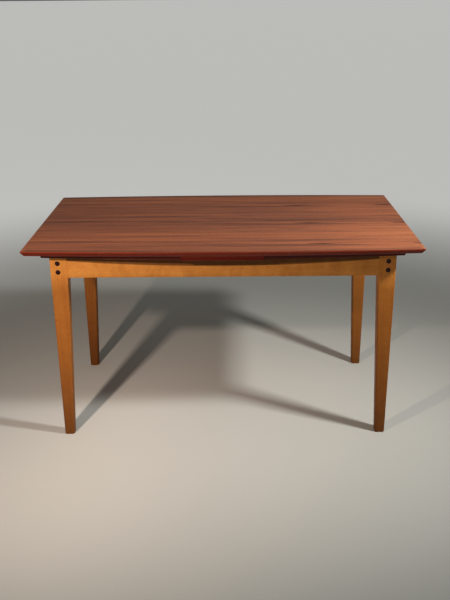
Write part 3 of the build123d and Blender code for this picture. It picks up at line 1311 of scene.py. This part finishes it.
@dataclass(frozen=True)
class Softbox:
    """An area light.

    Attributes:
        name: of the light.
        place: of its middle, in metres.
        target: it points at.
        size: width and height, in metres.
        power: in watts.
        tint: colour of its light.
        spread: angle of its beam, in degrees.
    """

    name: str
    place: tuple[float, float, float]
    target: tuple[float, float, float]
    size: tuple[float, float]
    power: float
    tint: Colour = (1.0, 1.0, 1.0)
    spread: float = 180.0

    def hang(self) -> None:
        """Adds the light to the studio."""
        lamp = bpy.data.lights.new(self.name, "AREA")
        lamp.shape = "RECTANGLE"
        lamp.size, lamp.size_y = self.size
        lamp.energy = self.power
        lamp.color = self.tint
        lamp.spread = radians(self.spread)
        holder = bpy.data.objects.new(self.name, lamp)
        holder.visible_camera = False
        aim = Vector(self.target) - Vector(self.place)
        turn = aim.to_track_quat("-Z", "Y").to_matrix().to_4x4()
        holder.matrix_world = Matrix.Translation(self.place) @ turn
        bpy.context.scene.collection.objects.link(holder)


@dataclass
class Studio:
    """Floor, lights and camera.

    Attributes:
        floor_reach: half the floor's side, in metres.
        floor_tone: the floor's colour.
        floor_shade: how dark its clouds are.
        floor_cloud: their number per metre, detail and roughness.
        floor_speck: specks per metre.
        floor_polish: its mean roughness, and how much that varies.
        floor_gloss: strength of its reflections.
        floor_bump: depth of the specks, in metres.
        backdrop: light that the far floor gives off.
        backdrop_rise: distances from the table where that starts and is full, in metres.
        back_wall: colour of the air near the horizon behind the table.
        front_wall: the same in front of it.
        ceiling: colour of the air overhead.
        wall_turn: sine of the directions where front gives way to back.
        wall_top: sine of the heights where one gives way to the other.
        lens: focal length, in millimetres.
        eye: the camera's place, in metres.
        yaw: turn to the left, in degrees.
        pitch: tilt down.
        roll: turn of the picture.
        lights: softboxes.
    """

    floor_reach: float = 400.0
    floor_tone: Colour = (0.62, 0.6, 0.565)
    floor_shade: float = 0.94
    floor_cloud: tuple[float, float, float] = (1.4, 4.0, 0.55)
    floor_speck: float = 240.0
    floor_polish: tuple[float, float] = (0.6, 0.2)
    floor_gloss: float = 0.3
    floor_bump: float = 0.0001
    backdrop: Colour = (0.42, 0.42, 0.41)
    backdrop_rise: tuple[float, float] = (1.2, 3.6)
    back_wall: Colour = (0.13, 0.13, 0.127)
    front_wall: Colour = (0.015, 0.015, 0.015)
    ceiling: Colour = (0.135, 0.139, 0.13)
    wall_turn: tuple[float, float] = (-0.4, 0.4)
    wall_top: tuple[float, float] = (0.2, 0.6)
    lens: float = 47.776
    eye: tuple[float, float, float] = (0.02071, -2.85666, 1.49476)
    yaw: float = 0.3295
    pitch: float = 20.9055
    roll: float = 0.5278
    lights: tuple[Softbox, ...] = (
        Softbox("key", (-0.9, -1.55, 1.37), (-0.46, -0.35, 0.25), (0.07, 0.07), 5.1,
                (1.0, 0.83, 0.7), 81.0),
        Softbox("right", (1.574, -0.868, 1.766), (-0.5, 0.25, 0.1), (0.2, 0.2), 13.5,
                (0.97, 1.0, 0.96), 98.0),
    )

    def lay_floor(self) -> None:
        """Lays the floor, pale and faintly clouded, with a far part lit as a backdrop is."""
        deselect_all()
        bpy.ops.mesh.primitive_plane_add(size=2 * self.floor_reach)
        floor = bpy.context.object
        floor.name = "floor"
        graph = Graph.of_material("pale_floor")
        x, y, z = graph.place()
        point = graph.combine(x, y, z)
        scale, detail, roughness = self.floor_cloud
        cloud = graph.noise(point, (scale,) * 3, 2.0, detail, roughness)
        speck = graph.noise(point, (self.floor_speck,) * 3, shift=5.0)
        darker = tuple(c * self.floor_shade for c in self.floor_tone)
        base = graph.blend(cloud, darker, self.floor_tone)
        away = (x * x + y * y).math("SQRT").between(*self.backdrop_rise)
        glow = graph.blend(away, (0.0, 0.0, 0.0), self.backdrop)
        mean, spread = self.floor_polish
        surface = Surface(base, mean + (cloud - MIDDLE) * spread, speck)
        others = {
            "Specular IOR Level": self.floor_gloss,
            "Emission Color": glow,
            "Emission Strength": 1.0,
        }
        floor.data.materials.append(graph.finish(surface, self.floor_bump, others))

    def hang_lights(self) -> None:
        """Hangs the softboxes and sets the light from all round."""
        for softbox in self.lights:
            softbox.hang()
        world = bpy.data.worlds.new("air")
        graph = Graph(world)
        direction = graph.add("ShaderNodeTexCoord").outputs["Generated"]
        split = graph.add("ShaderNodeSeparateXYZ", None, {0: direction})
        rise = Value(graph, split.outputs[2]).between(*self.wall_top)
        behind = Value(graph, split.outputs[1]).between(*self.wall_turn)
        walls = graph.blend(behind, self.front_wall, self.back_wall)
        air = graph.blend(rise, walls, self.ceiling)
        background = graph.add("ShaderNodeBackground", None, {"Color": air})
        output = graph.add("ShaderNodeOutputWorld")
        graph.tree.links.new(background.outputs[0], output.inputs[0])
        bpy.context.scene.world = world
        bpy.context.scene.view_settings.view_transform = "Standard"

    def set_camera(self) -> None:
        """Stands the camera where a standing person looks down on the table."""
        data = bpy.data.cameras.new("camera")
        data.lens = self.lens
        data.sensor_width = SENSOR_WIDTH
        data.clip_end = 2 * self.floor_reach
        camera = bpy.data.objects.new("camera", data)
        turns = (
            Matrix.Rotation(radians(self.yaw), 4, "Z")
            @ Matrix.Rotation(radians(90 - self.pitch), 4, "X")
            @ Matrix.Rotation(radians(-self.roll), 4, "Z")
        )
        camera.matrix_world = Matrix.Translation(self.eye) @ turns
        bpy.context.scene.collection.objects.link(camera)
        bpy.context.scene.camera = camera

    def build(self) -> None:
        """Sets up the whole studio."""
        self.lay_floor()
        self.hang_lights()
        self.set_camera()
        log.info("studio: %d softboxes", len(self.lights))


def main() -> None:
    """Builds and finishes every sub-assembly, then the studio."""
    logging.basicConfig(level=logging.INFO, format="%(name)s: %(message)s")
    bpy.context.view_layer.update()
    underframe = Underframe()
    underframe.build()
    underframe.dress()
    Plugs().build()
    CentreBoard().dress()
    for leaf in (DrawLeaf("left", 12.0), DrawLeaf("right", 16.0)):
        leaf.build()
        leaf.dress()
    TableTop().dress()
    Studio().build()


if __name__ == "__main__":
    main()
